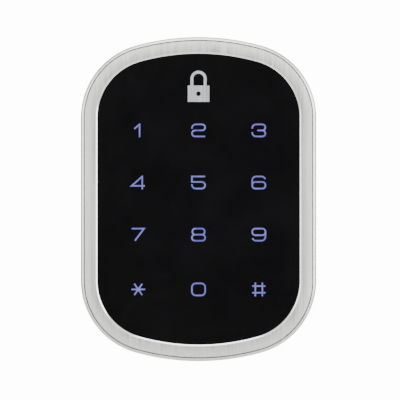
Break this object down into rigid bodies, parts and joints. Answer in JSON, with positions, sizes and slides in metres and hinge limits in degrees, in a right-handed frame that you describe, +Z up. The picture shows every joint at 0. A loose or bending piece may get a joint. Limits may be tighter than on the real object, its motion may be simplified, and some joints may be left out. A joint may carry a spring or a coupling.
{
  "type": "keypad smart lock",
  "caption": "Touch keypad door lock: oval metal-framed black panel outside, motor and battery unit with thumb turn inside, joined through the door.",
  "frame": {"origin": "centre of the door's bore on the door's outside face, which the keypad unit's gasket lies on", "axes": "+X to the right for someone outside, +Y in through the door towards the inside unit, +Z up"},
  "size_m": [0.081, 0.115, 0.1116],
  "materials": {
    "satin_nickel": "satin brushed plating",
    "black_glass": "polished black touch panel",
    "lit_legend": "back-lit translucent inlay",
    "sign_silver": "silver grey inlay",
    "rubber": "moulded rubber",
    "zinc_casting": "as-cast zinc with a dull plating",
    "plated_steel": "pressed zinc-plated steel",
    "screw_steel": "plated screws and bolts",
    "black_plastic": "moulded black plastic",
    "grey_plastic": "glass-filled grey plastic",
    "white_plastic": "natural acetal",
    "clear_plastic": "clear moulded plastic",
    "sensor_film": "amber film with printed electrodes",
    "circuit_board": "green solder mask",
    "chip_black": "moulded chip packages",
    "led": "lit lamp package",
    "cable_sheath": "flexible sheath",
    "brass": "turned brass",
    "battery_wrap": "plain blue shrink wrap",
    "shield_tin": "pressed tin shield",
    "motor_can": "drawn steel can"
  },
  "bodies": {
    "lock_case": {"gasket": "rubber", "back_plate": "zinc_casting", "bezel_frame": "satin_nickel", "panel_seal": "rubber", "touch_panel": "black_glass", "digit_windows": "lit_legend", "padlock_sign": "sign_silver", "touch_sensor_film": "sensor_film", "diffuser_sheet": "clear_plastic", "light_guide": "clear_plastic", "keypad_chassis": "black_plastic", "keypad_board": "circuit_board", "keypad_leds": "led", "keypad_chips": "chip_black", "buzzer": "chip_black", "keypad_connector": "white_plastic", "keypad_board_screws": "screw_steel", "plate_screws": "screw_steel", "blade_bush": "white_plastic", "cable_grommet": "rubber", "terminal_insulator": "black_plastic", "terminal_studs": "brass", "through_bolts": "screw_steel", "lead_cable": "cable_sheath", "inside_plate": "plated_steel", "inside_chassis": "black_plastic", "inside_housing": "satin_nickel", "battery_tray": "black_plastic", "battery_1": "battery_wrap", "battery_2": "battery_wrap", "battery_3": "battery_wrap", "battery_4": "battery_wrap", "battery_springs": "plated_steel", "battery_contacts": "plated_steel", "unit_screws": "screw_steel", "chassis_screws": "screw_steel", "gearbox_base": "grey_plastic", "gearbox_lid": "grey_plastic", "gearbox_screws": "screw_steel", "idler_pin": "screw_steel", "gear_motor": "motor_can", "main_board": "circuit_board", "main_board_screws": "screw_steel", "main_chips": "chip_black", "radio_module": "shield_tin", "main_connector": "white_plastic", "hall_sensors": "chip_black", "tact_switch": "grey_plastic", "turn_washer": "white_plastic"},
    "turn": {"thumb_turn": "satin_nickel", "turn_set_screw": "plated_steel", "spindle": "zinc_casting", "spindle_clip": "plated_steel", "output_gear": "white_plastic", "position_magnet": "shield_tin", "torque_blade": "plated_steel"},
    "idler": {"idler_gear": "white_plastic"},
    "motor_shaft": {"motor_pinion": "brass"},
    "battery_cover": {"battery_cover": "satin_nickel"},
    "privacy_button": {"privacy_button": "black_plastic"}
  },
  "joints": [
    {"name": "turn_spin", "type": "hinge", "parent": "lock_case", "child": "turn", "pos_m": [0, 0.05, 0], "axis": [0, 1, 0], "range_deg": [0, 90]},
    {"name": "idler_spin", "type": "hinge", "parent": "lock_case", "child": "idler", "pos_m": [-0.0192, 0.05, 0], "axis": [0, 1, 0], "range_deg": [-270, 0]},
    {"name": "motor_spin", "type": "hinge", "parent": "lock_case", "child": "motor_shaft", "pos_m": [-0.0192, 0.05, -0.0168], "axis": [0, 1, 0], "range_deg": [0, 675]},
    {"name": "cover_slide", "type": "slide", "parent": "lock_case", "child": "battery_cover", "axis": [0, 0, 1], "range_m": [0, 0.046]},
    {"name": "button_push", "type": "slide", "parent": "lock_case", "child": "privacy_button", "axis": [0, -1, 0], "range_m": [0, 0.0008], "stiffness_N_per_m": 1500}
  ],
  "couplings": [
    {"joint": "idler_spin", "follows": "turn_spin", "ratio": -3},
    {"joint": "motor_spin", "follows": "turn_spin", "ratio": 7.5}
  ]
}
